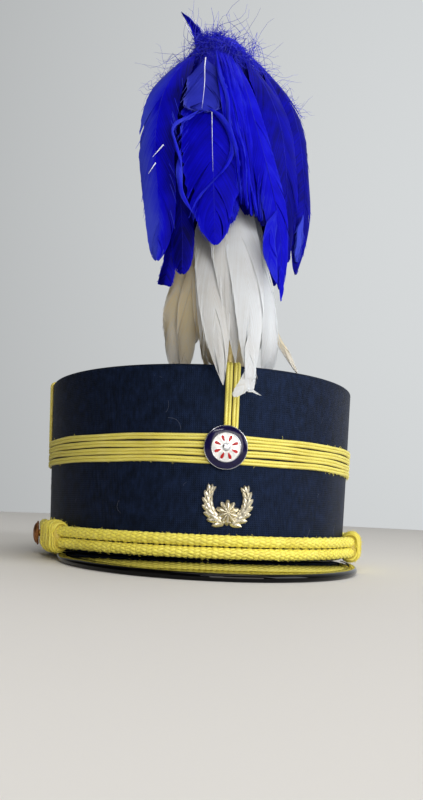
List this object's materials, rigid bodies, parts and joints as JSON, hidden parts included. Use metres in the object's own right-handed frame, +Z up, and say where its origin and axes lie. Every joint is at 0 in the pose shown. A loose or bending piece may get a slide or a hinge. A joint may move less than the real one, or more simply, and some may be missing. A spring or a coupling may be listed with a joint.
{
  "type": "kepi with feather plume",
  "caption": "Stiff cloth band kepi with soutache braid, patent leather peak, braided chin cord, badges and a feather plume.",
  "frame": {"origin": "middle of the bounding box, on the surface that the hat stands on", "axes": "+Z up, -Y towards the front of the hat, +X to the right of someone who faces the front"},
  "size_m": [0.1942, 0.2532, 0.2979],
  "materials": {
    "navy_cloth": "matt wool cloth",
    "patent_leather": "patent gloss",
    "yellow_braid": "woven soutache, soft sheen",
    "yellow_cord": "braided cord, soft sheen",
    "gilt_metal": "gilt, polished",
    "enamelled_metal": "glossy enamel on silvered metal",
    "white_feather": "natural feather",
    "blue_feather": "dyed feather"
  },
  "bodies": {
    "root": {"crown_side": "navy_cloth", "crown_top": "navy_cloth", "peak": "patent_leather", "peak_binding": "patent_leather", "band_braid_1": "yellow_braid", "band_braid_2": "yellow_braid", "band_braid_3": "yellow_braid", "band_braid_4": "yellow_braid", "front_braid_left": "yellow_braid", "front_braid_right": "yellow_braid", "left_braid_front": "yellow_braid", "left_braid_back": "yellow_braid", "right_braid_front": "yellow_braid", "right_braid_back": "yellow_braid", "cockade": "enamelled_metal", "wreath_badge": "gilt_metal", "chin_cord": "yellow_cord", "cord_whip_left": "yellow_cord", "cord_whip_right": "yellow_cord", "side_button_left": "gilt_metal", "side_button_right": "gilt_metal", "plume_stem": "gilt_metal", "plume_white": "white_feather", "plume_blue": "blue_feather"}
  },
  "joints": []
}
